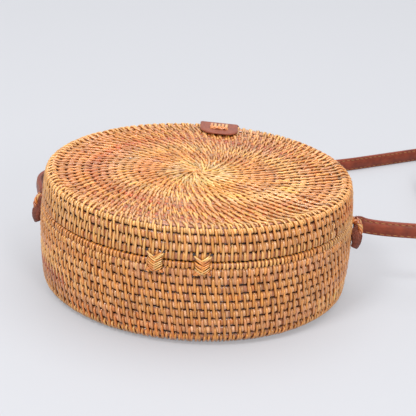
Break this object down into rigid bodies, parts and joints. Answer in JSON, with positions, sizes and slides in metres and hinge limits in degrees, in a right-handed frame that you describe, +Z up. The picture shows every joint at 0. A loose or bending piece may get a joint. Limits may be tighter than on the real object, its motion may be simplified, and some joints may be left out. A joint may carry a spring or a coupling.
{
  "type": "circle bag",
  "caption": "Round shoulder bag of coiled rattan with a lashed hinged lid, a leather press-stud clasp and a long leather strap.",
  "frame": {"origin": "middle of the flat underside, which is the bag's back when it is worn", "axes": "+Z up through the lid, -Y at the lashed hinge, +Y at the clasp, +X and -X at the strap knots"},
  "size_m": [0.3703, 0.4071, 0.0815],
  "materials": {
    "rattan": "semi-gloss split cane, straw to orange brown",
    "leather": "smooth reddish brown",
    "lining": "plain woven cotton",
    "brass": "aged satin"
  },
  "bodies": {
    "base": {"base_basket": "rattan", "base_lining": "lining", "hinge_lashing_left": "rattan", "hinge_lashing_right": "rattan", "snap_stud": "brass", "snap_stud_back": "brass", "strap_knot_left": "rattan", "strap_knot_right": "rattan", "strap_tail_left": "leather", "strap_tail_right": "leather", "strap_coil": "leather", "strap_back_run": "leather", "strap_front_run": "leather"},
    "lid": {"lid_basket": "rattan", "lid_shoulder_hoop": "rattan", "lid_lining": "lining", "clasp_tab": "leather", "clasp_stitches": "rattan"},
    "clasp_flap": {"clasp_flap": "leather", "snap_cap": "brass", "snap_socket": "brass"}
  },
  "joints": [
    {"name": "lid_hinge", "type": "hinge", "parent": "base", "child": "lid", "pos_m": [0, -0.10151, 0.05615], "axis": [1, 0, 0], "range_deg": [0, 110], "deforming": ["hinge_lashing_left", "hinge_lashing_right"]},
    {"name": "clasp_fold", "type": "hinge", "parent": "lid", "child": "clasp_flap", "pos_m": [0.00688, 0.09836, 0.0786], "axis": [0.9976, -0.0698, 0], "range_deg": [-6, 95], "stiffness_Nm_per_rad": 0.03}
  ]
}
